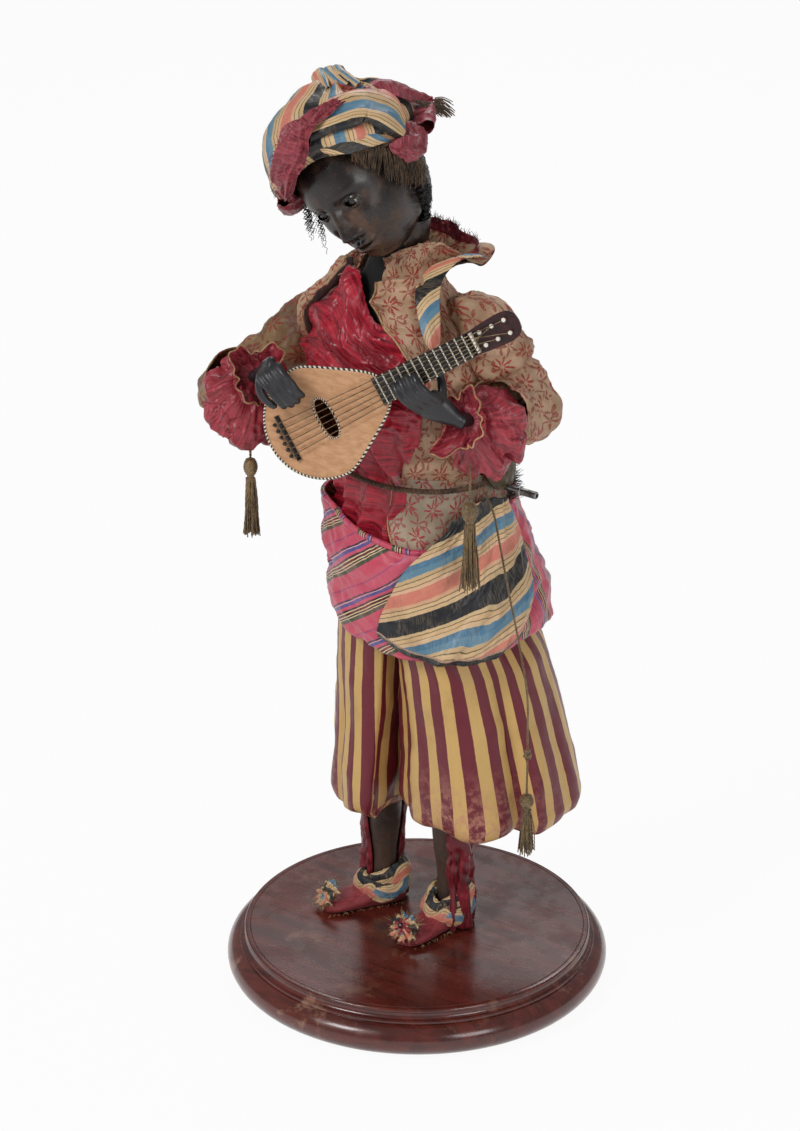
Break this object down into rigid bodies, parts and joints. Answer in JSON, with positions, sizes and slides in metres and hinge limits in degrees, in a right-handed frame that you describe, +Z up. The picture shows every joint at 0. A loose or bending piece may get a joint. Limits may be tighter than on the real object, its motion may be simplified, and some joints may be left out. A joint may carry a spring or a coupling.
{
  "type": "musical automaton figure",
  "caption": "Clockwork figure in silk costume playing a small mandolin on a turned wooden base, with a movement in its body that turns and nods the head and moves the arms.",
  "frame": {"origin": "centre of the base's underside, on the face of the baize pad", "axes": "+Z up, the figure faces -Y, its left hand is on the +X side"},
  "size_m": [0.2869, 0.2816, 0.6849],
  "materials": {
    "mahogany": "polished",
    "green_baize": "napped",
    "steel": "bright",
    "brass": "satin",
    "pine": "raw",
    "moulded_card": "raw",
    "painted_wood": "satin black-brown paint",
    "painted_card": "satin black-brown paint",
    "eye_glass": "glossy",
    "eyelid_leather": "satin",
    "hair": "matt",
    "striped_silk": "satin weave",
    "red_silk": "satin weave",
    "rose_silk": "satin weave",
    "brocade": "figured weave",
    "shirt_silk": "satin weave",
    "trouser_cloth": "striped weave",
    "slipper_cloth": "matt",
    "spruce": "varnished",
    "maple": "varnished",
    "ebony": "satin",
    "rosewood": "satin",
    "wire": "bright",
    "pink_silk": "satin weave",
    "leather": "worn",
    "brown_cord": "twisted",
    "gilt_thread": "tarnished"
  },
  "bodies": {
    "figure": {"base_board": "mahogany", "baize_pad": "green_baize", "leg_rod_right": "steel", "leg_rod_left": "steel", "leg_right": "painted_wood", "leg_left": "painted_wood", "slipper_right": "slipper_cloth", "slipper_left": "slipper_cloth", "shin_silk_right": "red_silk", "shin_silk_left": "red_silk", "pelvis_block": "pine", "torso_casing_front": "moulded_card", "torso_casing_back": "moulded_card", "shoulder_board": "pine", "movement_frame": "brass", "movement_plate": "brass", "music_comb": "steel", "upper_sleeve_right": "brocade", "upper_sleeve_left": "brocade", "shirt": "shirt_silk", "jacket": "brocade", "trouser_leg_right": "trouser_cloth", "trouser_leg_left": "trouser_cloth", "sash_hips": "pink_silk", "sash_front": "striped_silk", "hip_pouch": "leather", "waist_cord": "brown_cord", "hip_cord": "gilt_thread", "hip_tassel": "gilt_thread", "mandolin_bowl": "maple", "mandolin_soundboard": "spruce", "mandolin_neck": "rosewood", "fingerboard": "ebony", "bridge": "ebony", "strings": "wire"},
    "winding": {"winding_arbor": "steel"},
    "barrel": {"spring_barrel": "brass"},
    "cams": {"cam_arbor": "steel"},
    "fly": {"fly_arbor": "steel"},
    "cylinder": {"music_cylinder": "brass"},
    "click": {"click": "steel"},
    "stop": {"stop_lever": "steel"},
    "neck": {"neck_post": "painted_wood", "head_pin": "steel"},
    "head": {"head_face": "painted_card", "head_back": "moulded_card", "eye_right": "eye_glass", "eye_left": "eye_glass", "wig": "hair", "turban": "striped_silk", "turban_scarf": "red_silk"},
    "lids": {"eyelids": "eyelid_leather"},
    "right_forearm": {"hand_right": "painted_wood", "lower_sleeve_right": "brocade", "cuff_right": "rose_silk", "cuff_tassel_right": "gilt_thread"},
    "left_forearm": {"hand_left": "painted_wood", "lower_sleeve_left": "brocade", "cuff_left": "rose_silk", "cuff_tassel_left": "gilt_thread"}
  },
  "joints": [
    {"name": "winding_turn", "type": "hinge", "parent": "figure", "child": "winding", "pos_m": [0, 0.012, 0.402], "axis": [1, 0, 0], "continuous": true},
    {"name": "cam_turn", "type": "hinge", "parent": "figure", "child": "cams", "pos_m": [0, 0.009, 0.37819], "axis": [1, 0, 0], "continuous": true},
    {"name": "barrel_turn", "type": "hinge", "parent": "figure", "child": "barrel", "pos_m": [0, 0.012, 0.402], "axis": [1, 0, 0], "continuous": true},
    {"name": "fly_turn", "type": "hinge", "parent": "figure", "child": "fly", "pos_m": [0, -0.00098, 0.36091], "axis": [1, 0, 0], "continuous": true},
    {"name": "cylinder_turn", "type": "hinge", "parent": "figure", "child": "cylinder", "pos_m": [0, 0.01802, 0.36124], "axis": [1, 0, 0], "continuous": true},
    {"name": "click_lift", "type": "hinge", "parent": "figure", "child": "click", "pos_m": [0.0146, 0.021, 0.415], "axis": [1, 0, 0], "range_deg": [0, 10], "stiffness_Nm_per_rad": 0.002},
    {"name": "stop_swing", "type": "hinge", "parent": "figure", "child": "stop", "pos_m": [0.005, 0.037, 0.386], "axis": [1, 0, 0], "range_deg": [-9, 9]},
    {"name": "head_turn", "type": "hinge", "parent": "figure", "child": "neck", "pos_m": [-0.018, 0.002, 0.518], "axis": [0, 0, 1], "range_deg": [-12, 12]},
    {"name": "head_nod", "type": "hinge", "parent": "neck", "child": "head", "pos_m": [-0.02514, -0.00769, 0.60458], "axis": [0.8475, -0.0296, 0.5299], "range_deg": [-6, 8]},
    {"name": "blink", "type": "hinge", "parent": "head", "child": "lids", "pos_m": [-0.02872, -0.05039, 0.60791], "axis": [0.8475, -0.0296, 0.5299], "range_deg": [-8, 34], "stiffness_Nm_per_rad": 0.0008},
    {"name": "strum", "type": "hinge", "parent": "figure", "child": "right_forearm", "pos_m": [-0.133, -0.053, 0.446], "axis": [-0.3537, 0.919, -0.1744], "range_deg": [-4, 5]},
    {"name": "chord_shift", "type": "hinge", "parent": "figure", "child": "left_forearm", "pos_m": [0.081, 0.025, 0.458], "axis": [-0.6259, 0.2256, 0.7466], "range_deg": [-3, 3]}
  ],
  "couplings": [
    {"joint": "barrel_turn", "follows": "cam_turn", "ratio": -0.25},
    {"joint": "fly_turn", "follows": "cam_turn", "ratio": -4},
    {"joint": "cylinder_turn", "follows": "cam_turn", "ratio": -0.33333}
  ]
}
